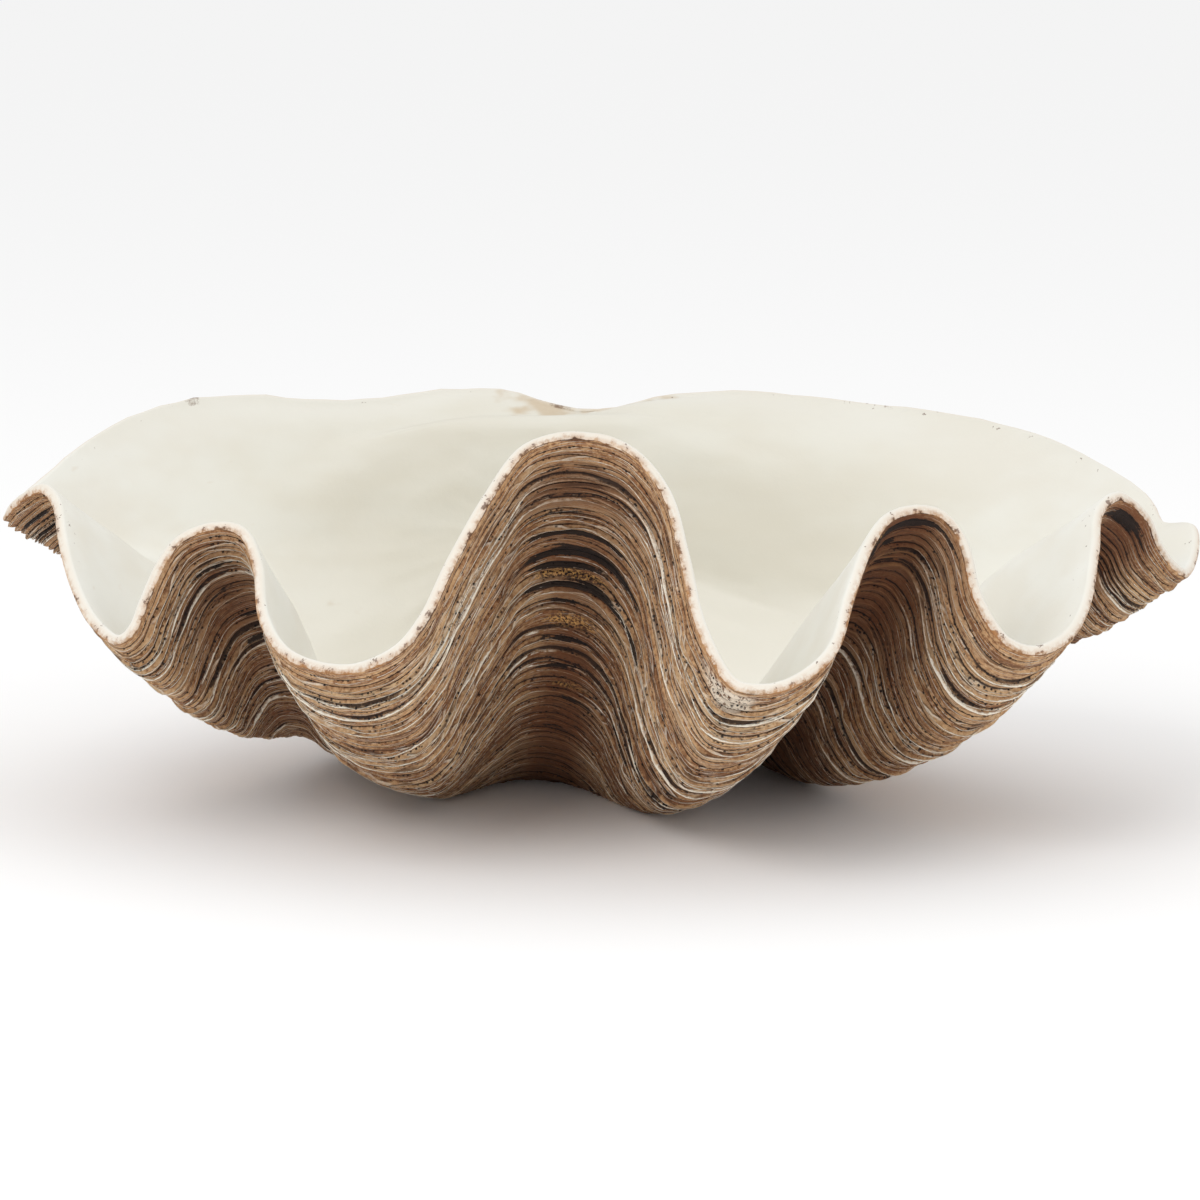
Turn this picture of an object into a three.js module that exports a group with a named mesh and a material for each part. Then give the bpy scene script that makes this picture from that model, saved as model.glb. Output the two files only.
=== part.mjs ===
// One valve of a ribbed giant clam, lying hollow side up on the undersides of its ribs.
// Millimetres, +Z up. The hinge is at the back (+Y), the wavy margin at the front (-Y).
//
// The outside is built as a shell grows: every growth line is the margin, turned down
// about the hinge axis, made smaller and moved a little. The inside is the same surface,
// set in by the thickness of the wall and closed by a back wall below the hinge.
import * as THREE from 'three';

// Driving dimensions, mm and degrees of turn
const UMBO = { x: -12, y: 192, z: 172 };       // the point that the growth lines turn about
const GROWTH_RATE = 0.76;                      // how fast they get smaller, for a radian
const LAST_TURN = 180;                         // from the margin to the tip of the umbo
const UMBO_SHIFT = { left: 44, back: 14, down: 18 };
const UMBO_SHIFT_TURN = 205;                   // the shift back and down is spread over this
const UMBO_CLOSE = [95, 209];                  // the turn over which the tip closes
const FOLD_FADE = 0.85;                        // share of the folds that is gone at the umbo
const FOLD_FADE_TURN = [8, 54];
const BELLY = { left: 1, right: 11 };          // bulge of the two side walls
const BELLY_RISE_TURN = 10;
const BELLY_END_TURN = [45, 120];
const BELLY_SIDE = [100, 220];                 // it begins and is full so far from the middle
const BELLY_RIGHT = [60, 220];                 // and changes from the left to the right value here
const REST_LEVEL = -6.5;                       // the undersides are worn flat at this height
const SEAT = { x: 0, y: 24, z: REST_LEVEL };   // this point becomes the origin

const RIM_WALL = 5.5;                          // thickness of the wall at its rim
const HINGE_WALL = 4;                          // what it gains at the hinge
const HINGE_REACH = 45;
const DEEP_WALL = 15.5;                        // and what it gains further in
const DEEP_WALL_TURN = 45;
const LIP_HEIGHT = 1.9;                        // roundness of the rim
const INNER_TURN = 70;                         // the inside follows the growth lines so far
const INNER_TURN_SHARE = 0.9;                  // share of the way in where that turn is reached
const INNER_TURN_EASE = 1.6;
const BACK_WALL = { x: -12, y: 10, z: 128 };   // middle that its last lines close on
const BACK_WALL_START = 0.25;                  // share of the way in where the closing begins
const INNER_LAST = 0.97;                       // share of the way in of the last line
const INNER_LINE_EASE = 1.1;                   // inner lines lie closer together near the rim
const UPRIGHT_WALL = [60, 170];                // the wall behind these is set in along Y
const UPRIGHT_WALL_TURN = 30;
const FLAT_WALL = [0.5, 0.85];                 // so is the back wall, over this share of the way in

const LEDGE_COUNT = 12;
const LEDGE_LAST_TURN = 104;
const LEDGE_EASE = 1.3;                        // ledges lie closer together near the rim
const LEDGE_EDGE = 1.6;                        // how far a growth ledge stands out
const LEDGE_FOOT = 0.9;                        // and how deep the step before it is
const LEDGE_RUN = 0.55;                        // turn from the foot to the edge
const LEDGE_BACK_SHARE = 0.3;                  // their share of that height behind the sides
const LEDGE_BACK = [0, 130];
const LEDGE_WAVES = [[0.55, 9, 1], [0.35, 23, 2.3]];   // turn, waves round the margin, phase
const LEDGE_STRENGTH = { middle: 0.75, swing: 0.25, waves: 14, phase: 1.9 };
const FIRST_LEDGE_TURN = 113;                  // the umbo is smooth beyond this

const AROUND = 104;                            // points round one growth line
const BACK_POINT_SHARE = 0.42;                 // their number along the back, to that at the folds
const BACK_START = [20, 90];                   // the folds end and the plain back rim begins here
const NORMAL_TURN = 0.4;                       // turns and shares over which normals are measured
const NORMAL_SHARE = 0.004;
const UMBO_ROWS = 6;
const INNER_ROWS = 12;

// The outer edge of the rim, from the hinge round by the left end and the front
const MARGIN = [
  [-12, 186, 170], [-30, 187, 174], [-51, 188, 180], [-81, 184, 181], [-115, 174, 178],
  [-149, 162, 178], [-183, 150, 182], [-216, 130, 182], [-245, 106, 176], [-268, 80, 165],
  [-285, 50, 152], [-296, 26, 144], [-298, 6, 139], [-291, -8, 147], [-276, -20, 157],
  [-269, -30, 152], [-264, -48, 136], [-257, -66, 119], [-245, -88, 103], [-229, -108, 97],
  [-221, -110, 103], [-215, -104, 116], [-207, -98, 134], [-199, -94, 144], [-183, -94, 150],
  [-172, -98, 148], [-165, -108, 135], [-161, -126, 113], [-147, -152, 99], [-117, -176, 96],
  [-92, -186, 107], [-79, -180, 121], [-66, -166, 146], [-49, -150, 174], [-33, -138, 194],
  [-13, -132, 199], [11, -136, 194], [28, -148, 176], [36, -164, 150], [44, -184, 119],
  [59, -200, 95], [71, -203, 92], [87, -200, 94], [108, -186, 107], [118, -166, 131],
  [128, -144, 151], [138, -128, 160], [150, -120, 162], [160, -118, 160], [168, -124, 150],
  [175, -138, 124], [188, -148, 105], [203, -146, 99], [220, -134, 103], [232, -112, 115],
  [239, -86, 137], [243, -66, 153], [253, -54, 158], [266, -46, 147], [273, -40, 132],
  [289, -24, 115], [297, -6, 122], [299, 8, 132], [297, 18, 133], [286, 30, 132],
  [279, 50, 143], [258, 80, 155], [226, 110, 167], [184, 134, 174], [133, 156, 178],
  [78, 176, 181], [32, 184, 177], [8, 186, 171],
];

// The line without folds that the growth lines tend to near the umbo
const PLAIN = [
  [-12, 186, 168], [-115, 172, 174], [-215, 128, 172], [-272, 66, 160], [-290, 0, 134],
  [-266, -64, 112], [-232, -142, 54], [-174, -160, 88], [-120, -182, 88], [-60, -204, 78],
  [-14, -212, 72], [34, -214, 68], [68, -198, 92], [100, -182, 106], [146, -166, 104],
  [216, -154, 86], [276, -96, 76], [302, -24, 72], [294, 34, 114], [256, 80, 144],
  [184, 134, 164], [80, 176, 174],
];
const PLAIN_MIDDLE = { x: -5, y: 20 };         // the two lines are matched by angle about this
const MATCH_REACH = 34;                        // mm of the margin that the match is evened over
const GROOVE_RISE = [100, 180];                // from the floor to the crest of a groove
const GROOVE_END = [-40, 30];                  // grooves are in front of this
const GROOVE_NARROWING = 0.7;                  // share of its width that a groove loses
const GROOVE_REACH = 90;                       // mm of the margin that takes that width over

const DENSE = 1200;                            // fine steps round the margin
const PLAIN_STEPS = 4 * DENSE;
const CURVE_DIVISIONS = 4000;
const WALL_REACH = 14;                         // mm that the direction of the wall is evened over
const INNER_REACH = 46;                        // and the inside itself, where it is deep
const INNER_REACH_TURN = [3, 40];
const X_AXIS = new THREE.Vector3(1, 0, 0);
const FULL_TURN = 2 * Math.PI;
const rad = THREE.MathUtils.degToRad;
const smooth = THREE.MathUtils.smoothstep;
const lerp = THREE.MathUtils.lerp;
const vector = ({ x, y, z }) => new THREE.Vector3(x, y, z);
const umbo = vector(UMBO);

function closedCurve(points) {
  const knots = points.map((p) => new THREE.Vector3(...p));
  const curve = new THREE.CatmullRomCurve3(knots, true, 'centripetal');
  curve.arcLengthDivisions = CURVE_DIVISIONS;
  return curve;
}

const marginCurve = closedCurve(MARGIN);
const margin = marginCurve.getSpacedPoints(DENSE).slice(0, DENSE);
const stepLength = marginCurve.getLength() / DENSE;
const plainPoints = closedCurve(PLAIN).getSpacedPoints(PLAIN_STEPS).slice(0, PLAIN_STEPS);

// Evens a number for each step of the margin by a bell curve, reach in mm
function evened(values, reach) {
  const span = Math.ceil(3 * reach / stepLength);
  const weights = [];
  for (let k = -span; k <= span; k += 1) {
    weights.push(Math.exp(-0.5 * (k * stepLength / reach) ** 2));
  }
  const total = weights.reduce((a, b) => a + b, 0);
  return values.map((_, i) => {
    let sum = 0;
    for (let k = -span; k <= span; k += 1) {
      sum += weights[k + span] * values[(i + k + DENSE) % DENSE];
    }
    return sum / total;
  });
}

function evenedPoints(points, reach) {
  const [x, y, z] = ['x', 'y', 'z'].map((axis) => evened(points.map((p) => p[axis]), reach));
  return points.map((_, i) => new THREE.Vector3(x[i], y[i], z[i]));
}

// The angle of each point about the middle, growing the way the margin runs
function bearings(points) {
  let last = 0;
  return points.map((p) => {
    const angle = Math.atan2(PLAIN_MIDDLE.x - p.x, p.y - PLAIN_MIDDLE.y);
    last = angle + FULL_TURN * Math.round((last - angle) / FULL_TURN);
    return last;
  });
}

// The point of the plain line that belongs to each step of the margin. The grooves take up
// less of the plain line than of the margin, so they get narrow between broad ribs.
const plainBearings = bearings(plainPoints);

function plainAt(bearing) {
  const first = plainBearings[0];
  const angle = first + THREE.MathUtils.euclideanModulo(bearing - first, FULL_TURN);
  const found = plainBearings.findIndex((b) => b > angle);
  const next = found < 0 ? 0 : found;
  const before = (next + PLAIN_STEPS - 1) % PLAIN_STEPS;
  const gap = THREE.MathUtils.euclideanModulo(plainBearings[next] - plainBearings[before], FULL_TURN);
  const share = THREE.MathUtils.euclideanModulo(angle - plainBearings[before], FULL_TURN) / gap;
  return plainPoints[before].clone().lerp(plainPoints[next], share);
}

const drift = evened(bearings(margin).map((b, i) => b - FULL_TURN * i / DENSE), MATCH_REACH);
const widths = drift.map((_, i) => (
  FULL_TURN / DENSE + (drift[(i + 1) % DENSE] - drift[(i + DENSE - 1) % DENSE]) / 2));
const lost = margin.map((p, i) => (
  widths[i] * GROOVE_NARROWING * smooth(p.z, ...GROOVE_RISE) * (1 - smooth(p.y, ...GROOVE_END))));
const gained = evened(lost, GROOVE_REACH);
const plain = [];
let matched = drift[0];
for (let i = 0; i < DENSE; i += 1) {
  matched += i === 0 ? 0 : widths[i] - lost[i] + gained[i];
  plain.push(plainAt(matched));
}

const nearHinge = margin.map((p) => Math.exp(-0.5 * (p.distanceTo(margin[0]) / HINGE_REACH) ** 2));
const belly = margin.map((p) => {
  const side = smooth(Math.abs(p.x), ...BELLY_SIDE);
  return lerp(BELLY.left, BELLY.right, smooth(p.x, ...BELLY_RIGHT)) * side;
});

function foldedPoint(i, turn) {
  const kept = 1 - FOLD_FADE * smooth(turn, ...FOLD_FADE_TURN);
  return plain[i].clone().lerp(margin[i], kept);
}

// A point of the growth surface: step i of the margin, turn in degrees
function grownPoint(i, turn) {
  const w = rad(turn);
  const shrink = Math.exp(-GROWTH_RATE * w);
  const p = foldedPoint(i, turn).sub(umbo);
  p.multiplyScalar(shrink * (1 - smooth(turn, ...UMBO_CLOSE)));
  p.applyAxisAngle(X_AXIS, w).add(umbo);
  const along = smooth(turn, 0, UMBO_SHIFT_TURN);
  p.x -= UMBO_SHIFT.left * (1 - shrink);
  p.y += UMBO_SHIFT.back * along;
  p.z -= UMBO_SHIFT.down * along;
  p.z -= belly[i] * smooth(turn, 0, BELLY_RISE_TURN) * (1 - smooth(turn, ...BELLY_END_TURN));
  return p;
}

// The normal of a grid at each step: along the margin, across the rows before and after
function crossed(line, before, after) {
  return line.map((_, i) => {
    const round = line[(i + 3) % DENSE].clone().sub(line[(i + DENSE - 3) % DENSE]);
    return round.cross(after[i].clone().sub(before[i])).normalize();
  });
}

// One growth line of the outside; offset moves it along the surface's outward direction
function outerLine(turn, offset, wobble) {
  const at = (t) => margin.map((_, i) => grownPoint(i, t));
  const inward = offset === 0 ? null : crossed(at(turn), at(turn - NORMAL_TURN), at(turn + NORMAL_TURN));
  return margin.map((m, i) => {
    const a = FULL_TURN * i / DENSE;
    const wave = LEDGE_WAVES.reduce(
      (sum, [turns, waves, phase]) => sum + turns * Math.sin(waves * a + phase * wobble), 0);
    const p = grownPoint(i, turn + (inward ? wave : 0));
    if (inward) {
      const { middle, swing, waves, phase } = LEDGE_STRENGTH;
      const strength = middle + swing * Math.sin(waves * a + phase * wobble);
      const room = (1 - nearHinge[i]) * lerp(1, LEDGE_BACK_SHARE, smooth(m.y, ...LEDGE_BACK));
      p.addScaledVector(inward[i], -offset * strength * room);
    }
    p.z = Math.max(p.z, REST_LEVEL);
    return p;
  });
}

// One line of the inside, before the wall's thickness is set off from it; t runs from 0 at
// the rim to 1 in the middle of the back wall
const innerTurn = (t) => (
  INNER_TURN * (1 - (1 - Math.min(t / INNER_TURN_SHARE, 1)) ** INNER_TURN_EASE));

function innerBase(t) {
  const turn = innerTurn(t);
  const w = rad(turn);
  const shrink = Math.exp(-GROWTH_RATE * w);
  const middle = vector(BACK_WALL).sub(umbo);
  const closing = THREE.MathUtils.clamp((t - BACK_WALL_START) / (1 - BACK_WALL_START), 0, 1);
  const open = Math.cos(Math.PI / 2 * closing);
  return margin.map((_, i) => {
    const p = foldedPoint(i, turn).sub(umbo);
    p.lerp(middle, 1 - open).multiplyScalar(shrink).applyAxisAngle(X_AXIS, w).add(umbo);
    p.x -= UMBO_SHIFT.left * (1 - shrink);
    return p;
  });
}

function innerLine(t) {
  const turn = innerTurn(t);
  const line = innerBase(t);
  const normals = crossed(
    line, innerBase(Math.max(t - NORMAL_SHARE, 0)), innerBase(t + NORMAL_SHARE));
  const inward = normals.map((d, i) => {
    const back = smooth(line[i].y, ...UPRIGHT_WALL) * (1 - smooth(turn, 0, UPRIGHT_WALL_TURN));
    d.lerp(new THREE.Vector3(0, -1, 0), nearHinge[i]);
    return d.lerp(new THREE.Vector3(0, -1, 0.15), Math.max(back, smooth(t, ...FLAT_WALL))).normalize();
  });
  const even = evenedPoints(inward, WALL_REACH);
  line.forEach((p, i) => {
    const wall = RIM_WALL + HINGE_WALL * nearHinge[i] + DEEP_WALL * smooth(turn, 0, DEEP_WALL_TURN);
    p.addScaledVector(even[i].normalize(), wall);
  });
  const reach = INNER_REACH * smooth(turn, ...INNER_REACH_TURN);
  return reach < stepLength ? line : evenedPoints(line, reach);
}

// The steps that become points: closer together round the folds than along the back
const weight = margin.map((p) => lerp(1, BACK_POINT_SHARE, smooth(p.y, ...BACK_START)));
const totalWeight = weight.reduce((a, b) => a + b, 0);
const chosen = [];
let reached = 0;
for (let i = 0; i < DENSE && chosen.length < AROUND; i += 1) {
  if (reached >= chosen.length * totalWeight / AROUND) {
    chosen.push(i);
  }
  reached += weight[i];
}

const rows = [];
const addRow = (line) => rows.push(chosen.map((i) => line[i]));

// Outside, from the umbo to the rim
for (let k = 0; k < UMBO_ROWS; k += 1) {
  addRow(outerLine(lerp(LAST_TURN, FIRST_LEDGE_TURN, k / (UMBO_ROWS - 1)), 0, 0));
}
for (let k = LEDGE_COUNT; k > 0; k -= 1) {
  const turn = LEDGE_LAST_TURN * (k / LEDGE_COUNT) ** LEDGE_EASE;
  addRow(outerLine(turn, LEDGE_EDGE, k));
  addRow(outerLine(turn - LEDGE_RUN, -LEDGE_FOOT, k));
}
const rimOuter = outerLine(0, 0, 0);
addRow(rimOuter);

// The rounded rim
const rimInner = innerLine(0);
addRow(rimOuter.map((p, i) => {
  const rise = grownPoint(i, -1).sub(grownPoint(i, 0)).normalize();
  rise.lerp(new THREE.Vector3(0, 0, 1), smooth(margin[i].y, ...BACK_START)).normalize();
  return p.clone().lerp(rimInner[i], 0.5).addScaledVector(rise, LIP_HEIGHT);
}));

// Inside, from the rim to the back wall
addRow(rimInner);
for (let k = 1; k < INNER_ROWS; k += 1) {
  addRow(innerLine(INNER_LAST * (k / (INNER_ROWS - 1)) ** INNER_LINE_EASE));
}

// The skin over the rows, closed at both ends by a point in the middle
const points = rows.flat();
const faces = [];
const count = chosen.length;
for (let r = 0; r + 1 < rows.length; r += 1) {
  for (let i = 0; i < count; i += 1) {
    const j = (i + 1) % count;
    const [a, b, c, d] = [r * count + i, r * count + j, (r + 1) * count + j, (r + 1) * count + i];
    // the shorter diagonal follows the ledges
    if (points[a].distanceTo(points[c]) < points[b].distanceTo(points[d])) {
      faces.push(a, b, c, a, c, d);
    } else {
      faces.push(a, b, d, b, c, d);
    }
  }
}

function middleOf(row) {
  const sum = new THREE.Vector3();
  row.forEach((p) => sum.add(p));
  return sum.divideScalar(row.length);
}

const tip = points.push(middleOf(rows[0])) - 1;
const wallMiddle = points.push(middleOf(rows[rows.length - 1])) - 1;
const lastRow = (rows.length - 1) * count;
for (let i = 0; i < count; i += 1) {
  const j = (i + 1) % count;
  faces.push(tip, j, i);
  faces.push(wallMiddle, lastRow + i, lastRow + j);
}

const geometry = new THREE.BufferGeometry();
geometry.setAttribute('position', new THREE.Float32BufferAttribute(
  points.flatMap((p) => [p.x - SEAT.x, p.y - SEAT.y, p.z - SEAT.z]), 3));
geometry.setIndex(faces);
geometry.computeVertexNormals();

const material = new THREE.MeshStandardMaterial({
  color: 0xb9a78f, roughness: 0.75, metalness: 0 });
material.name = 'shell';
const valve = new THREE.Mesh(geometry, material);
valve.name = 'clam_shell';

const shell = new THREE.Group();
shell.name = 'clam_shell_valve';
shell.add(valve);
export default shell;
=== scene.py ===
import math

import bpy
import numpy as np
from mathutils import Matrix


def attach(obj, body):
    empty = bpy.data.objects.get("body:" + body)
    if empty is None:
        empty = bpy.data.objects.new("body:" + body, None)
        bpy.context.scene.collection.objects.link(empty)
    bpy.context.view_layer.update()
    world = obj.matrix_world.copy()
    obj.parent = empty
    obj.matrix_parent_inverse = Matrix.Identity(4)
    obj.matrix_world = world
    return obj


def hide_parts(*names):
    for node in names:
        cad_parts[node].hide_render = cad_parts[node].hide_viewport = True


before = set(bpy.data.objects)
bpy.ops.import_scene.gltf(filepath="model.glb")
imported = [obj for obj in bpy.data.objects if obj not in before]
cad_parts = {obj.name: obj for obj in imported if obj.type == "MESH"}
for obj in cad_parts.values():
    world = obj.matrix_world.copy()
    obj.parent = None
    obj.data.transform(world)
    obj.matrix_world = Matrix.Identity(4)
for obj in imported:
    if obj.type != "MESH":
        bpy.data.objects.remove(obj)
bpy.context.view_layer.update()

# The valve, its form
# One valve of a ribbed giant clam, grown in one piece of shell lime from the hinge outwards.
# Each growth line is the wavy margin, turned down about the hinge, made smaller and moved a
# little; the inside is the same surface set in by the thickness of the wall. Lengths here are mm.
MARGIN = [
    (-12, 186, 170), (-30, 187, 174), (-51, 188, 180), (-81, 184, 181), (-115, 174, 178),
    (-149, 162, 178), (-183, 150, 182), (-216, 130, 182), (-245, 106, 176), (-268, 80, 165),
    (-285, 50, 152), (-296, 26, 144), (-298, 6, 139), (-291, -8, 147), (-276, -20, 157),
    (-269, -30, 152), (-264, -48, 136), (-257, -66, 119), (-245, -88, 103), (-229, -108, 97),
    (-221, -110, 103), (-215, -104, 116), (-207, -98, 134), (-199, -94, 144), (-183, -94, 150),
    (-172, -98, 148), (-165, -108, 135), (-161, -126, 113), (-147, -152, 99), (-117, -176, 96),
    (-92, -186, 107), (-79, -180, 121), (-66, -166, 146), (-49, -150, 174), (-33, -138, 194),
    (-13, -132, 199), (11, -136, 194), (28, -148, 176), (36, -164, 150), (44, -184, 119),
    (59, -200, 95), (71, -203, 92), (87, -200, 94), (108, -186, 107), (118, -166, 131),
    (128, -144, 151), (138, -128, 160), (150, -120, 162), (160, -118, 160), (168, -124, 150),
    (175, -138, 124), (188, -148, 105), (203, -146, 99), (220, -134, 103), (232, -112, 115),
    (239, -86, 137), (243, -66, 153), (253, -54, 158), (266, -46, 147), (273, -40, 132),
    (289, -24, 115), (297, -6, 122), (299, 8, 132), (297, 18, 133), (286, 30, 132),
    (279, 50, 143), (258, 80, 155), (226, 110, 167), (184, 134, 174), (133, 156, 178),
    (78, 176, 181), (32, 184, 177), (8, 186, 171),
]
PLAIN = [
    (-12, 186, 168), (-115, 172, 174), (-215, 128, 172), (-272, 66, 160), (-290, 0, 134),
    (-266, -64, 112), (-232, -142, 54), (-174, -160, 88), (-120, -182, 88), (-60, -204, 78),
    (-14, -212, 72), (34, -214, 68), (68, -198, 92), (100, -182, 106), (146, -166, 104),
    (216, -154, 86), (276, -96, 76), (302, -24, 72), (294, 34, 114), (256, 80, 144),
    (184, 134, 164), (80, 176, 174),
]
PLAIN_MIDDLE = (-5, 20)
MATCH_REACH = 34
GROOVE_RISE, GROOVE_END = (100, 180), (-40, 30)
GROOVE_NARROWING, GROOVE_REACH = 0.7, 90
UMBO = np.array([-12.0, 192.0, 172.0])
UMBO_LEFT, UMBO_BACK, UMBO_DOWN = 44, 14, 18
UMBO_TURNS, CLOSING_TURNS = (0, 205), (95, 209)
GROWTH_RATE = 0.76
LAST_TURN = 180
FOLD_FADE, FOLD_FADE_TURNS = 0.85, (8, 54)
HINGE_REACH = 45
BELLY_DROP, RIGHT_BELLY_DROP = 1, 10
BELLY_STARTS, BELLY_ENDS = (0, 10), (45, 120)
RIM_WALL, HINGE_WALL, DEEP_WALL = 5.5, 4, 15.5
LIP_HEIGHT = 1.9
INNER_TURN = 70
LAST_INNER_SHARE, INNER_ROW_EASE = 0.985, 1.15
INNER_EVENING, INNER_EVENING_TURNS = 46, (3, 40)
OFFSET_EVENING = 14
FLAT_WALL = (0.5, 0.85)
BACK_WALL = np.array([-12.0, 10.0, 128.0])
REST_LEVEL = -6.5
SEAT = np.array([0.0, 24.0, REST_LEVEL])
DENSE = 2400
COLUMNS = 376
UMBO_ROWS, INNER_ROWS = 9, 27


def smooth(x, start, end):
    t = np.clip((x - start) / (end - start), 0, 1)
    return t * t * (3 - 2 * t)


def unit(v):
    return v / np.maximum(np.linalg.norm(v, axis=-1, keepdims=True), 1e-9)


def closed_curve(points, steps):
    """A centripetal curve through the points, in even steps, and its length."""
    p = np.array(points, float)
    before, after, beyond = np.roll(p, 1, 0), np.roll(p, -1, 0), np.roll(p, -2, 0)
    reach = [np.sqrt(np.linalg.norm(b - a, axis=1))[:, None]
             for a, b in ((before, p), (p, after), (after, beyond))]
    leave = (after - p) + reach[1] * ((p - before) / reach[0] - (after - before) / (reach[0] + reach[1]))
    arrive = (after - p) + reach[1] * ((beyond - after) / reach[2] - (beyond - p) / (reach[1] + reach[2]))
    t = np.linspace(0, 1, 60, endpoint=False)[None, :, None]
    p, after, leave, arrive = (a[:, None] for a in (p, after, leave, arrive))
    fine = ((2 * (p - after) + leave + arrive) * t ** 3
            + (3 * (after - p) - 2 * leave - arrive) * t ** 2 + leave * t + p).reshape(-1, 3)
    ring = np.vstack([fine, fine[:1]])
    along = np.concatenate([[0], np.cumsum(np.linalg.norm(np.diff(ring, axis=0), axis=1))])
    at = np.arange(steps) / steps * along[-1]
    return np.stack([np.interp(at, along, ring[:, k]) for k in range(3)], 1), along[-1]


def evened(values, reach, axis=0):
    """Evens values round the closed margin by a bell curve of this reach in mm."""
    steps = values.shape[axis]
    k = (np.arange(steps) + steps // 2) % steps - steps // 2
    bell = np.exp(-0.5 * (k * margin_length / steps / reach) ** 2)
    shape = [1] * values.ndim
    shape[axis] = -1
    bell = np.fft.rfft(bell / bell.sum()).reshape(shape)
    return np.fft.irfft(np.fft.rfft(values, axis=axis) * bell, steps, axis=axis)


def turned(v, w):
    """Turns vectors about X so that what points forward goes down."""
    y = v[..., 1] * np.cos(w) - v[..., 2] * np.sin(w)
    z = v[..., 1] * np.sin(w) + v[..., 2] * np.cos(w)
    return np.stack([v[..., 0] * np.ones_like(y), y, z], -1)


margin, margin_length = closed_curve(MARGIN, DENSE)
plain_line, _ = closed_curve(PLAIN, 4 * DENSE)
ring_angle = 2 * np.pi * np.arange(DENSE) / DENSE


def bearing(points):
    """The angle of each point about the middle, growing the way the margin runs."""
    return np.unwrap(np.arctan2(PLAIN_MIDDLE[0] - points[:, 0], points[:, 1] - PLAIN_MIDDLE[1]))


drift = evened(bearing(margin) - ring_angle, MATCH_REACH)
share = 2 * np.pi / DENSE + (np.roll(drift, -1) - np.roll(drift, 1)) / 2
groove = smooth(margin[:, 2], *GROOVE_RISE) * (1 - smooth(margin[:, 1], *GROOVE_END))
lost = share * GROOVE_NARROWING * groove
share = share - lost + evened(lost, GROOVE_REACH)
matched = drift[0] + np.cumsum(share) - share[0]
plain_bearing = bearing(plain_line)
plain_bearing = np.concatenate([plain_bearing - 2 * np.pi, plain_bearing, plain_bearing + 2 * np.pi])
plain = np.stack([np.interp(matched, plain_bearing, np.tile(plain_line[:, k], 3)) for k in range(3)], 1)
near_hinge = np.exp(-0.5 * (np.linalg.norm(margin - margin[0], axis=1) / HINGE_REACH) ** 2)
belly = ((BELLY_DROP + RIGHT_BELLY_DROP * smooth(margin[:, 0], 60, 220))
         * smooth(np.abs(margin[:, 0]), 100, 220))


def folded(turn):
    kept = 1 - FOLD_FADE * smooth(turn, *FOLD_FADE_TURNS)
    return plain + kept[..., None] * (margin - plain) - UMBO


def grown(turn):
    """The growth lines at these turns, degrees, as rows of points."""
    turn = np.atleast_2d(turn)
    if turn.shape[0] == 1:
        turn = turn.T
    w = np.radians(turn)
    shrink = np.exp(-GROWTH_RATE * w)
    rel = folded(turn) * (shrink * (1 - smooth(turn, *CLOSING_TURNS)))[..., None]
    p = UMBO + turned(rel, w)
    along = smooth(turn, *UMBO_TURNS)
    p[..., 0] -= UMBO_LEFT * (1 - shrink)
    p[..., 1] += UMBO_BACK * along
    p[..., 2] -= UMBO_DOWN * along
    p[..., 2] -= belly * smooth(turn, *BELLY_STARTS) * (1 - smooth(turn, *BELLY_ENDS))
    return p


def side_direction(rows):
    """The direction that points away from the shell on a grid of rows."""
    round_ = np.roll(rows, -3, 1) - np.roll(rows, 3, 1)
    return unit(np.cross(np.gradient(rows, axis=0), round_))


# Lattice noise that closes round the margin
lattice = np.random.default_rng(11).random((512, 512))
along = np.arange(DENSE)[None] / DENSE * margin_length


def grain(growth, long, wide, seed=0):
    """Smooth noise, -1 to 1, of cells this long along the margin and this wide across it, mm."""
    cells = max(4, round(margin_length / long))
    x = along / margin_length * cells
    y = growth / wide + 37.3 * (seed + 1)
    i, j = np.floor(x).astype(int), np.floor(y).astype(int)
    u, v = smooth(x - i, 0, 1), smooth(y - j, 0, 1)
    pick = lambda a, b: lattice[(a % cells + 71 * seed) % 512, b % 512]
    low = pick(i, j) * (1 - u) + pick(i + 1, j) * u
    high = pick(i, j + 1) * (1 - u) + pick(i + 1, j + 1) * u
    return 2 * (low * (1 - v) + high * v) - 1


# Growth ledges: every few mm a layer ends in a raised edge that faces the rim, below a crease.
# Each wanders on its own, meets its neighbours and fades in and out along its length. Rows of
# points follow each crease, each edge and the band between them.
FRONT_REACH = 370.0
LAST_LEDGE_TURN = 104
FIRST_LEDGE = 4.6
USUAL_GAP, LEAST_GAP = 3.8, 1.1
EDGE_RISE, BAND_RISE = 1.6, 0.4
CREASE_DEPTH, STRONG_CREASE_DEPTH = 0.4, 0.6
CRUST_MIDDLE, CRUST_REACH, CRUST_RISE = 61, 11, 2.2


def growth_at(turn):
    return FRONT_REACH * (1 - np.exp(-GROWTH_RATE * np.radians(turn))) / GROWTH_RATE


def turn_at(growth):
    return np.degrees(-np.log(1 - GROWTH_RATE * growth / FRONT_REACH) / GROWTH_RATE)


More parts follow.
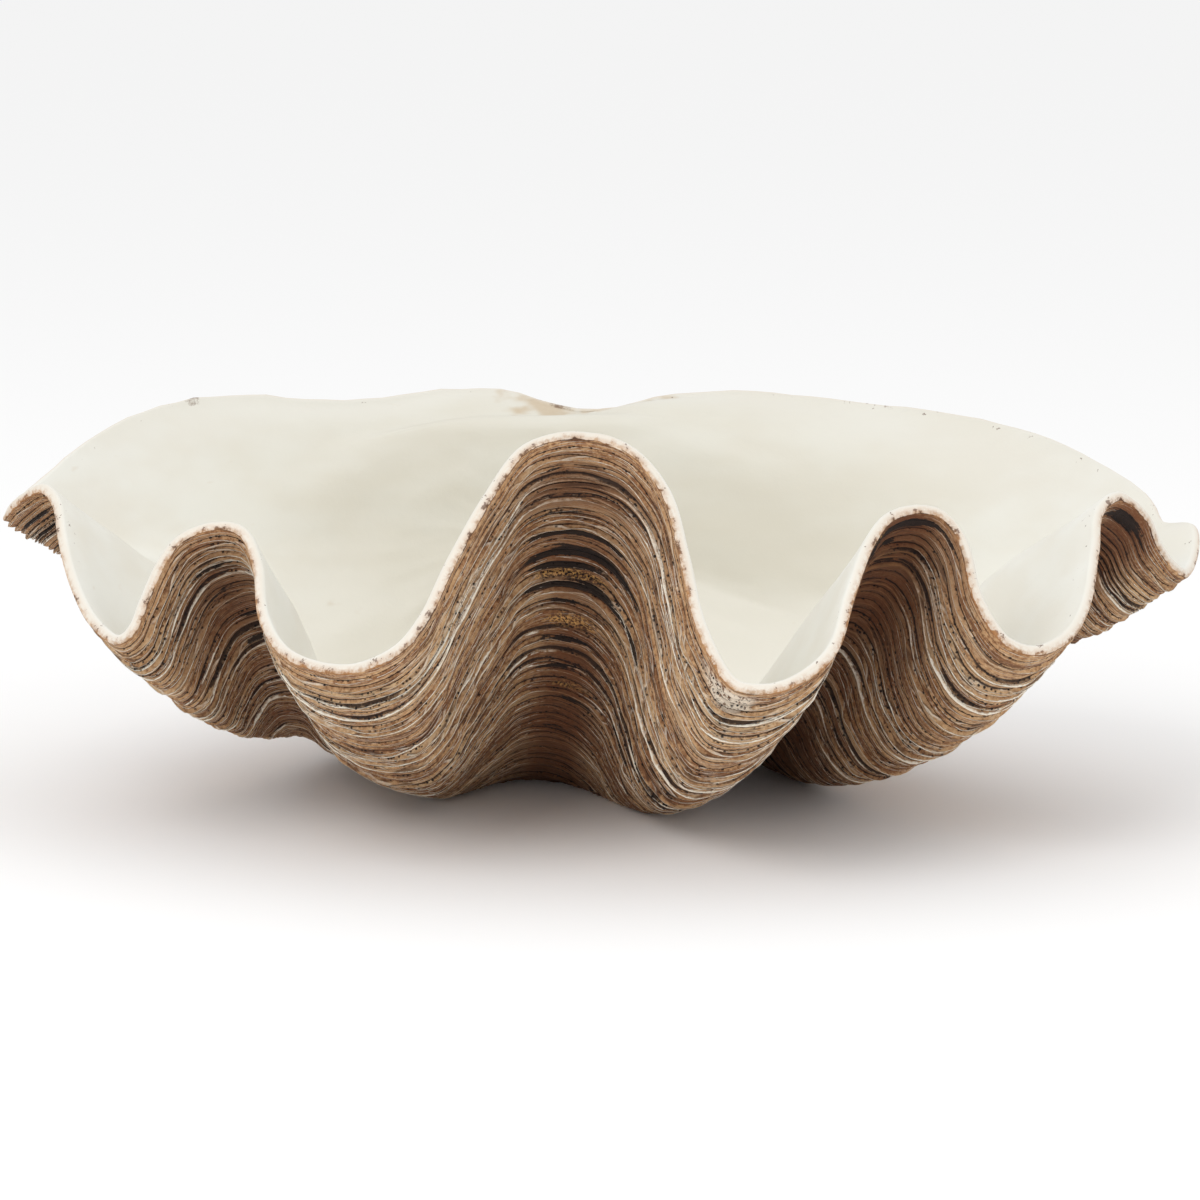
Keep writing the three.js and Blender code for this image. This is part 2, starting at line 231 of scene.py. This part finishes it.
dice = np.random.default_rng(5)
middles = [FIRST_LEDGE]
while middles[-1] < growth_at(LAST_LEDGE_TURN):
    gap = USUAL_GAP + 1.2 * smooth(middles[-1], 130, 200) + 4.5 * smooth(middles[-1], 225, 290)
    middles.append(middles[-1] + gap * dice.uniform(0.45, 1.55))
middles = np.array(middles)[:, None]
ledge_count = len(middles)
own_noise = 7.0 * np.arange(ledge_count)[:, None]
wander = (2.6 * grain(middles, 120, 40, 1) + 1.5 * grain(own_noise, 64, 5, 2)
          + 0.7 * grain(own_noise, 23, 5, 3) + 0.28 * grain(own_noise, 8, 5, 9))
lines = middles + wander * smooth(middles, 0, 16)
for k in range(1, ledge_count):
    lines[k] = np.maximum(lines[k], lines[k - 1] + LEAST_GAP)
gap_below = np.vstack([np.diff(lines, axis=0), np.full((1, DENSE), 8.0)])
gap_above = np.vstack([lines[:1], gap_below[:-1]])
crease_at = 0.3 * np.minimum(gap_above, 1.7)
edge_at = 0.16 * np.minimum(gap_below, 1.9)
chance = dice.random((ledge_count, 1))
strength = np.clip(0.18 + 0.85 * chance ** 1.5 + 0.45 * grain(own_noise, 52, 5, 4)
                   + 0.5 * grain(own_noise, 12, 5, 15), 0.02, 1.4)
strength = strength * smooth(gap_below + gap_above, 1.5, 5)


def in_rows(first, crease, edge, band, last):
    """Rows from the rim to the umbo: one at the rim, three for each ledge, then the umbo's."""
    rows = np.empty((1 + 3 * ledge_count + UMBO_ROWS, DENSE))
    rows[0] = first
    rows[1:-UMBO_ROWS:3] = crease
    rows[2:-UMBO_ROWS:3] = edge
    rows[3:-UMBO_ROWS:3] = band
    rows[-UMBO_ROWS:] = last
    return rows


umbo_turns = np.linspace(turn_at(lines[-1].max() + 4) + 3, LAST_TURN, UMBO_ROWS)[:, None]
growth = in_rows(0, lines - crease_at, lines + edge_at, lines + 0.5 * gap_below, growth_at(umbo_turns))
below_line = in_rows(9, gap_above - crease_at, edge_at, 0.5 * gap_below, 9)
above_line = in_rows(9, crease_at, gap_below - edge_at, 0.5 * gap_below, 9)
ledge_strength = in_rows(strength[0], strength, strength, strength, 0)
next_strength = in_rows(strength[0], strength, np.vstack([strength[1:], strength[-1:]]),
                        np.vstack([strength[1:], strength[-1:]]), 0)
layer = in_rows(0.5, np.vstack([chance[:1], chance[:-1]]), chance, chance, 0.5)

turns = turn_at(growth)
outer = grown(turns)
across = np.roll(outer, -3, 1) - np.roll(outer, 3, 1)
outward = unit(np.cross(across, grown(turns - 0.4) - grown(turns + 0.4)))
if outward[60, np.argmin(margin[:, 1])][2] > 0:
    outward = -outward
room = (1 - near_hinge) * (1 - 0.7 * smooth(margin[:, 1], 0, 130)) * smooth(growth, 0, 3)
room = room * (1 - 0.6 * smooth(growth, 90, 190))
lumps = 0.28 * grain(growth, 16, 9, 6) + 0.2 * grain(growth, 7, 5, 7) + 0.6 * grain(growth, 70, 26, 8)
crusted = (np.exp(-((margin[:, 0] - CRUST_MIDDLE) / CRUST_REACH) ** 2) * (margin[:, 1] < 0)
           * smooth(growth, 0, 2) * (1 - smooth(growth, 7, 18)))
lumps = lumps + CRUST_RISE * crusted * np.abs(grain(growth, 6, 4, 12))
relief = lumps + in_rows(0, -CREASE_DEPTH - STRONG_CREASE_DEPTH * strength,
                         EDGE_RISE * strength, BAND_RISE * strength, 0)
outer = outer + outward * (relief * room)[..., None]
outer[..., 2] = np.maximum(outer[..., 2], REST_LEVEL)

inner_t = LAST_INNER_SHARE * np.linspace(0, 1, INNER_ROWS)[:, None] ** INNER_ROW_EASE
inner_turns = INNER_TURN * (1 - (1 - np.minimum(inner_t / 0.9, 1)) ** 1.6)
w = np.radians(inner_turns)
shrink = np.exp(-GROWTH_RATE * w)
opened = np.cos(np.pi / 2 * np.clip((inner_t - 0.25) / 0.75, 0, 1))[..., None]
rel = (BACK_WALL - UMBO) + opened * (folded(inner_turns) - (BACK_WALL - UMBO))
inner_base = UMBO + turned(rel * shrink[..., None], w)
inner_base[..., 0] -= UMBO_LEFT * (1 - shrink)
inward = side_direction(inner_base)
if inward[6, np.argmin(margin[:, 1])][2] < 0:
    inward = -inward
hinge_share = near_hinge[None, :, None]
inward = inward * (1 - hinge_share) + np.array([0, -1.0, 0]) * hinge_share
back_share = smooth(inner_base[..., 1], 60, 170) * (1 - smooth(inner_turns, 0, 30))
back_share = np.maximum(back_share, smooth(inner_t, *FLAT_WALL))[..., None]
inward = inward * (1 - back_share) + np.array([0, -1.0, 0.15]) * back_share
inward = unit(evened(unit(inward), OFFSET_EVENING, axis=1))
waves = 1.1 * grain(FRONT_REACH * inner_t, 75, 46, 21) + 0.5 * grain(FRONT_REACH * inner_t, 30, 26, 22)
wall = RIM_WALL + HINGE_WALL * near_hinge + DEEP_WALL * smooth(inner_turns, 0, 45)
inner = inner_base + inward * wall[..., None]
for row, turn in zip(inner, inner_turns[:, 0]):
    reach = INNER_EVENING * smooth(turn, *INNER_EVENING_TURNS)
    if reach > 1:
        row[:] = evened(row, reach)
inner = inner + inward * (waves * smooth(inner_t, 0.04, 0.2) * (1 - smooth(inner_t, 0.7, 0.95)))[..., None]

rise = unit(grown([-1.0])[0] - grown([0.0])[0])
upright = smooth(margin[:, 1], 20, 90)[:, None]
rise = unit(rise * (1 - upright) + np.array([0, 0, 1.0]) * upright)
lip_angles = np.linspace(0, np.pi, 7)[1:-1, None]
nibble = 0.45 * grain(np.zeros((1, 1)), 9, 9, 31)[0] + 0.3 * grain(np.zeros((1, 1)), 4.5, 9, 32)[0]
half = (outer[0] - inner[0]) / 2
lip = ((outer[0] + inner[0]) / 2 + half * np.cos(lip_angles)[..., None]
       + rise * ((LIP_HEIGHT + nibble) * np.sin(lip_angles))[..., None])

# Columns lie closer together round the folds than along the back
density = 1 - 0.62 * smooth(margin[:, 1], 10, 90)
reached = np.concatenate([[0], np.cumsum(density)[:-1]]) / density.sum()
columns = np.minimum(np.searchsorted(reached, np.arange(COLUMNS) / COLUMNS), DENSE - 1)

rows = np.concatenate([outer[::-1], lip, inner])[:, columns]
row_count = len(rows)
points = np.vstack([rows.reshape(-1, 3), rows[0].mean(0), rows[-1].mean(0)])
a = np.arange(row_count - 1)[:, None] * COLUMNS + np.arange(COLUMNS)
b = np.arange(row_count - 1)[:, None] * COLUMNS + (np.arange(COLUMNS) + 1) % COLUMNS
quads = np.stack([a, b, b + COLUMNS, a + COLUMNS], -1).reshape(-1, 4)
around = np.arange(COLUMNS)
following = (around + 1) % COLUMNS
tip = np.stack([around * 0 + row_count * COLUMNS, following, around], 1)
last = (row_count - 1) * COLUMNS
close = np.stack([around * 0 + row_count * COLUMNS + 1, last + around, last + following], 1)
mesh = bpy.data.meshes.new("clam_valve")
mesh.from_pydata(((points - SEAT) / 1000).tolist(), [],
                 quads.tolist() + tip.tolist() + close.tolist())
mesh.shade_smooth()
valve = bpy.data.objects.new("clam_valve", mesh)
bpy.context.collection.objects.link(valve)

# What the material needs to know at each point
lip_rows = len(lip)
inner_depth = FRONT_REACH * inner_t


def spread(name, outside, on_lip, inside, kind="FLOAT"):
    """Keeps a number, or a vector, for each point of the mesh."""
    width = 1 if kind == "FLOAT" else 3
    parts = [np.reshape(np.broadcast_to(part, (count, DENSE) if width == 1 else (count, DENSE, 3)),
                        (count, DENSE, width))[:, columns]
             for part, count in ((outside, len(outer)), (on_lip, lip_rows), (inside, len(inner)))]
    grid = np.concatenate([parts[0][::-1], parts[1], parts[2]])
    flat = np.vstack([grid.reshape(-1, width), grid[0].mean(0)[None], grid[-1].mean(0)[None]])
    kept = mesh.attributes.new(name, kind, "POINT")
    kept.data.foreach_set("value" if width == 1 else "vector", flat.astype(np.float32).ravel())


ring_radius = margin_length / (2 * math.pi)


def placed(depth):
    """Coordinates in decimetres that run round the margin and with the growth."""
    depth = np.broadcast_to(depth, (len(depth), DENSE))
    x = ring_radius * np.cos(along / ring_radius) + 0 * depth
    y = ring_radius * np.sin(along / ring_radius) + 0 * depth
    return np.stack([x, y, depth], -1) / 100


fold_height = np.clip((margin[:, 2] - plain[:, 2]) / 90, 0, 1)
in_front = margin[:, 1] < 20


def stain_and_shade_patches(patches):
    """Patches on the front, mostly stain, some painted shade: margin x at the middle, reach left and
    right, growth, reach of it, strength.
    """
    total = 0 * growth
    for middle, left, right, depth, thick, amount in patches:
        off = margin[:, 0] - middle
        off = np.where(off < 0, off / left, off / right)
        drop = growth - depth + 2.5 * grain(growth, 40, 400, 14)
        total = total + amount * in_front * np.exp(-off ** 2) * np.exp(-(drop / thick) ** 2)
    return np.clip(total, 0, 1)


black_arcs = stain_and_shade_patches([
    (-16, 22, 40, 57, 2.0, 0.9), (-10, 24, 46, 68, 3.2, 1.0), (-12, 22, 42, 75, 2.0, 0.9),
    (-8, 30, 46, 85, 2.8, 1.0), (-2, 26, 34, 94, 1.6, 0.8), (4, 30, 26, 113, 1.8, 0.75),
    (0, 26, 24, 127, 1.8, 0.7), (10, 24, 20, 143, 2.2, 0.7), (0, 30, 24, 160, 2.4, 0.6),
    (-24, 20, 20, 16, 1.2, 0.6), (6, 26, 30, 30, 1.3, 0.6), (-20, 26, 22, 42, 1.3, 0.6),
    (132, 9, 11, 5, 3.0, 1.0), (150, 7, 12, 6, 2.4, 0.9), (133, 8, 12, 15, 2.6, 0.8),
    (133, 8, 12, 27, 2.4, 0.7), (126, 7, 12, 42, 3.0, 0.6), (120, 10, 14, 66, 3.0, 0.6),
    (118, 12, 16, 92, 4.0, 0.6), (260, 10, 11, 6, 6.0, 0.8), (262, 8, 8, 22, 4.0, 0.5),
    (-194, 14, 14, 24, 1.8, 0.6), (-204, 14, 14, 44, 2.2, 0.6),
    (-186, 14, 14, 68, 2.4, 0.7), (-196, 16, 16, 90, 3.0, 0.7), (-290, 14, 14, 14, 2.0, 0.8),
    (-288, 14, 14, 26, 2.0, 0.7), (-286, 14, 14, 40, 2.4, 0.7)])
amber_spots = stain_and_shade_patches([
    (-10, 22, 34, 79, 3.0, 1.0), (-6, 24, 32, 104, 4.5, 0.8), (-12, 26, 30, 50, 2.5, 0.5),
    (0, 26, 26, 136, 3.0, 0.6), (134, 12, 12, 1, 2.0, 1.0), (262, 10, 10, 1, 1.6, 0.8)])
# Browner patches; the two on the lower left flank, at margin x -196 and -184, are partly painted shade.
browned = stain_and_shade_patches([
    (-8, 42, 44, 26, 18, 0.6), (-6, 34, 34, 70, 22, 0.45), (0, 30, 24, 125, 40, 0.5),
    (2, 36, 26, 200, 60, 0.62), (134, 18, 30, 30, 50, 1.3), (136, 24, 34, 90, 70, 0.5),
    (130, 30, 60, 190, 60, 0.65), (-196, 22, 26, 40, 50, 0.4), (-184, 34, 34, 150, 70, 0.2),
    (262, 12, 14, 12, 26, 0.8), (264, 14, 16, 60, 40, 0.4), (-288, 14, 14, 30, 30, 0.5)])
spread("place", placed(growth), placed(np.zeros((lip_rows, 1))), placed(-inner_depth), "FLOAT_VECTOR")
spread("growth", growth, 0, -inner_depth)
spread("inside", 0, np.linspace(0.1, 0.9, lip_rows)[:, None], 1)
spread("below_line", below_line, 9, 9)
spread("above_line", above_line, 9, 9)
spread("strength", ledge_strength, 0, 0)
spread("next_strength", next_strength, 0, 0)
spread("layer", layer, 0.5, 0.5)
spread("black", black_arcs, 0, 0)
spread("amber", amber_spots, 0, 0)
spread("browned", browned, 0, 0)
spread("crust", crusted, 0, 0)
specked = sum(np.exp(-((margin[:, 0] - at) / reach) ** 2) * (margin[:, 1] > 60) * amount
              for at, reach, amount in ((-112, 3.2, 1.0), (-20, 12, 0.5), (-214, 3, 0.6), (96, 5, 0.5),
                                        (150, 4, 0.5), (-60, 5, 0.5)))
spread("rim_spot", 0, specked, np.where(np.arange(INNER_ROWS)[:, None] < 1, specked, 0))
spread("groove", fold_height * (1 - smooth(growth, 120, 330)), 0, 0)
spread("hinge", near_hinge, near_hinge, near_hinge * (1 - smooth(inner_depth, 30, 150)))

# The valve, its surface
# Outside: tan-brown, weathered lime with fine growth lines and dark hairlines, a painted highlight on the
# ledge edges and painted shade in their creases, and grooves made browner, partly stain and partly painted
# shade.
# Rim: a thin pale band, specked brown at its outer edge. Inside: smooth cream, with painted shade at the
# back and near the rim and painted light low in the bowl.


def tone(red, green, blue):
    """A colour given as it looks on a screen, 0 to 255."""
    linear = [c / 255 / 12.92 if c <= 10 else ((c / 255 + 0.055) / 1.055) ** 2.4
              for c in (red, green, blue)]
    return (*linear, 1)


class Wire:
    """A socket whose maths is written as expressions."""

    def __init__(self, tree, socket=None):
        self.tree = tree
        self.socket = socket

    def node(self, kind, settings=None, inputs=None, output=0):
        made = self.tree.nodes.new(kind)
        for name, value in (settings or {}).items():
            setattr(made, name, value)
        for name, value in (inputs or {}).items():
            if isinstance(value, Wire):
                self.tree.links.new(value.socket, made.inputs[name])
            else:
                made.inputs[name].default_value = value
        return Wire(self.tree, made.outputs[output] if made.outputs else None)

    def math(self, operation, *values):
        return self.node("ShaderNodeMath", {"operation": operation}, dict(enumerate(values)))

    def __add__(self, other):
        return self.math("ADD", self, other)

    def __sub__(self, other):
        return self.math("SUBTRACT", self, other)

    def __mul__(self, other):
        return self.math("MULTIPLY", self, other)

    def __truediv__(self, other):
        return self.math("DIVIDE", self, other)

    def __rsub__(self, other):
        return self.math("SUBTRACT", other, self)

    __radd__ = __add__
    __rmul__ = __mul__

    def fraction(self):
        return self.math("FRACT", self)

    def step(self, start, end):
        """0 below start, 1 above end, smooth between."""
        inputs = {"Value": self, "From Min": start, "From Max": end}
        return self.node("ShaderNodeMapRange", {"interpolation_type": "SMOOTHSTEP"}, inputs)

    def mixed(self, under, over):
        """under where this mask is 0, over where it is 1."""
        inputs = {0: self, 6: under, 7: over}
        return self.node("ShaderNodeMix", {"data_type": "RGBA"}, inputs, 2)


material = bpy.data.materials.new("clam_lime")
material.use_nodes = True
tree = material.node_tree
tree.nodes.clear()
wire = Wire(tree)


def known(name, output="Fac"):
    return wire.node("ShaderNodeAttribute", {"attribute_name": name}, None, output)


def noise(vector, stretch, detail=4, roughness=0.55, offset=0):
    """Noise on a vector that is first stretched, so that its grains run along the margin."""
    sized = wire.node("ShaderNodeVectorMath", {"operation": "MULTIPLY_ADD"},
                      {0: vector, 1: stretch, 2: (offset, offset, offset)})
    return wire.node("ShaderNodeTexNoise", None,
                     {"Vector": sized, "Scale": 1, "Detail": detail, "Roughness": roughness}, "Fac")


place = known("place", "Vector")
spot = wire.node("ShaderNodeTexCoord", None, None, "Object")


def metres(axis):
    return wire.node("ShaderNodeSeparateXYZ", None, {"Vector": spot}, axis)


across_lip = known("inside")
lip = 1 - across_lip.step(0.0, 0.1)
inside = across_lip.step(0.12, 0.42)
growth_mm = known("growth")
depth_mm = 0 - growth_mm
below_line = known("below_line")
above_line = known("above_line")
groove = known("groove")
browned = known("browned")

umbo = growth_mm.step(225, 300)
patches = noise(spot, (13, 13, 13), 3, 0.6, 2)
strands = noise(place, (1.4, 1.4, 34), 4, 0.62, 5) * (1 - umbo) + patches * umbo
hairs = noise(place, (3, 3, 130), 2, 0.6) * (1 - umbo) + umbo * 0.5
breaks = noise(place, (8, 8, 22), 3, 0.62, 7)
dashes = noise(place, (19, 19, 60), 2, 0.6, 13) - 0.5
grit = noise(spot, (420, 420, 420), 3, 0.65)
crumbs = wire.node("ShaderNodeTexVoronoi", None, {"Vector": spot, "Scale": 430}, "Distance")

BAND, DARK_BAND, PALE_BAND = tone(194, 152, 109), tone(136, 92, 58), tone(226, 194, 154)
# PALE_EDGE is the painted highlight on the ledge edges; CREASE is the painted shade in their creases, and
# also the dark among the amber crumbs.
PALE_EDGE, AMBER, CREASE = tone(252, 243, 226), tone(224, 172, 102), tone(38, 21, 14)
BROWN, NEAR_BLACK = tone(102, 58, 32), tone(24, 15, 12)

# Bands between the ledges
shade = known("layer") * 0.4 + strands * 1.3 - 0.36 + (grit - 0.5) * 1.3
body = shade.step(0.25, 0.6).mixed(DARK_BAND, BAND)
body = (shade.step(0.55, 0.9) * 0.8).mixed(body, PALE_BAND)
# Browner in the grooves, towards the umbo and in the browned patches: partly stain, partly painted shade
# in the grooves.
stain_and_groove_shade = (browned + groove * 0.1 + growth_mm.step(110, 240) * 0.35 + (patches - 0.5) * 0.6
         + (strands - 0.5) * 0.9 + (grit - 0.5) * 0.3)
body = (stain_and_groove_shade.step(0.1, 0.8) * 0.9).mixed(body, BROWN)
free_of_stain_and_shade = 1 - stain_and_groove_shade.step(0.25, 0.85)
# Where the outside is browner, the painted highlight on the ledge edges turns amber-brown.
edge_tint = stain_and_groove_shade.step(0.25, 0.8).mixed(PALE_EDGE, tone(178, 132, 86))

# Fine lines within a band, pale under dark
fine = (growth_mm / 1.6 + noise(place, (2, 2, 7), 1, 0.5, 3) * 5).fraction()
fine_shown = (breaks * 1.5 + hairs * 0.9 - 0.8).step(0.2, 0.7)
body = ((1 - fine.step(0.1, 0.24)) * fine_shown * (0.2 + 0.4 * free_of_stain_and_shade)).mixed(body, edge_tint)
body = (fine.step(0.76, 0.92) * fine_shown * 0.65).mixed(body, tone(70, 45, 31))
body = ((1 - hairs.step(0.36, 0.46)) * 0.7).mixed(body, tone(76, 50, 35))

# Ledges: a dark crease, painted shade, and right below it a pale edge, a painted highlight where the step
# faces up
ragged = (grit - 0.5) * 0.6 + (breaks - 0.5) * 0.5
shown = known("strength") * 1.6 + breaks * 1.6 - 0.78 + dashes * 2.2
next_shown = known("next_strength") * 1.5 + breaks * 1.5 - 0.52 + dashes * 2.6
pale = (1 - (below_line + ragged).step(0.36, 0.64)) * shown.step(0.12, 0.45) * (0.3 + 0.7 * free_of_stain_and_shade)
dark = (1 - (above_line + ragged).step(0.7, 1.05)) * next_shown.step(-0.05, 0.3)
body = (dark * 0.92).mixed(body, CREASE)
body = pale.mixed(body, edge_tint)

# Black arcs and amber crumbs in the grooves
crumbly = noise(spot, (760, 760, 760), 2, 0.6, 9).step(0.47, 0.53)
black = (known("black") * 1.2 + (strands - 0.5) * 2.4 + (grit - 0.5) * 0.7 - pale * 0.3).step(0.45, 0.62)
body = (black * 0.95).mixed(body, NEAR_BLACK)
amber = (known("amber") + (patches - 0.5) * 0.5).step(0.3, 0.8)
body = (amber * crumbly * (0.45 + 0.5 * breaks.step(0.4, 0.6))).mixed(body, AMBER)
body = (amber * (1 - crumbly) * 0.65).mixed(body, CREASE)

# Rows of pits above some ledges, and the crust beside the rim
pit_row = (1 - above_line.step(1.3, 2.4)) * (breaks * 0.8 + patches * 0.6).step(0.6, 0.7)
pit_row = pit_row + known("crust") * 0.8
pit = (1 - crumbs.step(0.2, 0.36)) * pit_row
crust_tone = grit.step(0.4, 0.48).mixed(tone(112, 84, 62), tone(240, 226, 206))
body = (known("crust").step(0.15, 0.7) * 0.8).mixed(body, crust_tone)
body = (pit * 0.95).mixed(body, tone(34, 22, 18))

# Rim and inside
clouds = noise(spot, (9, 16, 22), 3, 0.62, 6)
cream = clouds.step(0.34, 0.66).mixed(tone(222, 218, 206), tone(230, 230, 223))
back_wall_shade = metres("Y").step(0.0, 0.15)
low_bowl_light = 1 - metres("Z").step(0.05, 0.15)
# Painted light: the cream is brighter low in the bowl.
cream = (low_bowl_light * 0.8).mixed(cream, tone(241, 238, 229))
# Painted shade: the cream is darker towards the back wall.
cream = (back_wall_shade * 0.65).mixed(cream, tone(205, 201, 188))
# Painted shade: the cream is greyer on the walls near the rim.
rim_wall_shade = 1 - depth_mm.step(15, 80)
cream = (rim_wall_shade * 0.35).mixed(cream, tone(222, 220, 213))
smears = noise(spot, (60, 60, 130), 2, 0.65, 8)
stain = known("hinge").step(0.02, 0.8) * 0.7 + (clouds - 0.5) * 1.2 + (smears - 0.5) * 1.8
cream = (stain.step(0.4, 1.0) * 0.6).mixed(cream, tone(184, 158, 120))
outer_lip = 1 - across_lip.step(0.2, 0.7)
cream = ((1 - across_lip.step(0.5, 1.0)) * 0.8).mixed(cream, tone(220, 211, 197))
mottle = noise(spot, (230, 230, 230), 3, 0.7, 3)
rubbed = noise(place, (7, 7, 7), 2, 0.6, 11)
cream = (outer_lip * (mottle + rubbed * 0.5).step(0.64, 0.8) * 0.6).mixed(cream, tone(196, 164, 138))
specks = (mottle + rubbed * 0.4 + outer_lip * 0.1).step(0.87, 0.91) * (1 - depth_mm.step(1, 6))
cream = (specks * 0.75).mixed(cream, tone(98, 66, 48))
rim_spot = (known("rim_spot") + (mottle - 0.5) * 1.2).step(0.3, 0.6)
cream = (rim_spot * 0.8).mixed(cream, tone(112, 84, 62))
rim_edge = growth_mm + (mottle - 0.5) * 5 + (rubbed - 0.5) * 3 + lip * 1.2 + groove * 1.4
worn = 1 - rim_edge.step(0.2, 1.0)
body = (worn * 0.8).mixed(body, mottle.step(0.4, 0.6).mixed(tone(226, 211, 194), tone(196, 166, 138)))
rim_line = rim_edge.step(0.0, 0.8) * (1 - rim_edge.step(1.4, 2.2)) * rubbed.step(0.36, 0.5)
body = (rim_line * 0.85).mixed(body, patches.step(0.45, 0.6).mixed(tone(72, 46, 32), tone(168, 118, 72)))
color = inside.mixed(body, cream)

outer_height = (strands * 0.5 + hairs * 0.4 + pale * 0.45 - dark * 0.5 + fine * fine_shown * -0.25
                + grit * 0.55 - pit * 0.8 + known("crust") * grit * 1.2) * (1 - inside)
inner_height = (patches * 0.6 + grit * 0.05) * inside
relief_normal = wire.node("ShaderNodeBump", None,
                          {"Strength": 1.0, "Distance": 0.0013, "Height": outer_height + inner_height})
roughness = inside * (-0.42 + 0.1 * patches) + 0.88
shader = wire.node("ShaderNodeBsdfPrincipled", None,
                   {"Base Color": color, "Roughness": roughness, "Normal": relief_normal})
wire.node("ShaderNodeOutputMaterial", None, {"Surface": shader})
mesh.materials.append(material)
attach(valve, "root")
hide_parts("clam_shell")

# The floor
# A plain pale sheet, large enough to run out of the picture on every side.
bpy.ops.mesh.primitive_plane_add(size=30)
floor = bpy.context.object
floor.name = "floor"
floor_material = bpy.data.materials.new("pale_floor")
floor_material.use_nodes = True
floor_shader = floor_material.node_tree.nodes["Principled BSDF"]
floor_shader.inputs["Base Color"].default_value = (0.92, 0.92, 0.92, 1)
floor_shader.inputs["Roughness"].default_value = 0.9
floor_shader.inputs["Specular IOR Level"].default_value = 0
floor.data.materials.append(floor_material)

# The light
# Soft daylight all round, one large lamp from the front left and above, a weaker one from the right.
world = bpy.data.worlds.new("studio")
world.use_nodes = True
world.node_tree.nodes["Background"].inputs["Color"].default_value = (1, 1, 1, 1)
world.node_tree.nodes["Background"].inputs["Strength"].default_value = 0.98
bpy.context.scene.world = world


def lamp(name, place, power, size):
    light = bpy.data.lights.new(name, "AREA")
    light.energy = power
    light.size = size
    holder = bpy.data.objects.new(name, light)
    holder.location = place
    aim = np.array([0, 0, 0.1]) - np.array(place)
    holder.rotation_euler = (math.atan2(math.hypot(aim[0], aim[1]), -aim[2]), 0,
                             math.atan2(aim[1], aim[0]) - math.pi / 2)
    bpy.context.collection.objects.link(holder)


lamp("key", (-1.0, -1.5, 1.9), 16, 1.4)
lamp("fill", (1.6, -1.4, 1.2), 5, 1.4)

# The camera
# A little above the rim, straight in front of the margin, from about two metres.
CAMERA_DISTANCE = 2.2
CAMERA_RISE = math.radians(10)
aim_at = np.array([0, 0, 100]) - SEAT
camera_data = bpy.data.cameras.new("camera")
camera_data.lens = 132
camera_data.sensor_width = 36
camera = bpy.data.objects.new("camera", camera_data)
camera.location = (aim_at[0] / 1000, aim_at[1] / 1000 - CAMERA_DISTANCE * math.cos(CAMERA_RISE),
                   aim_at[2] / 1000 + CAMERA_DISTANCE * math.sin(CAMERA_RISE))
camera.rotation_euler = (math.pi / 2 - CAMERA_RISE, 0, 0)
bpy.context.collection.objects.link(camera)
bpy.context.scene.camera = camera
bpy.context.scene.view_settings.view_transform = "Standard"
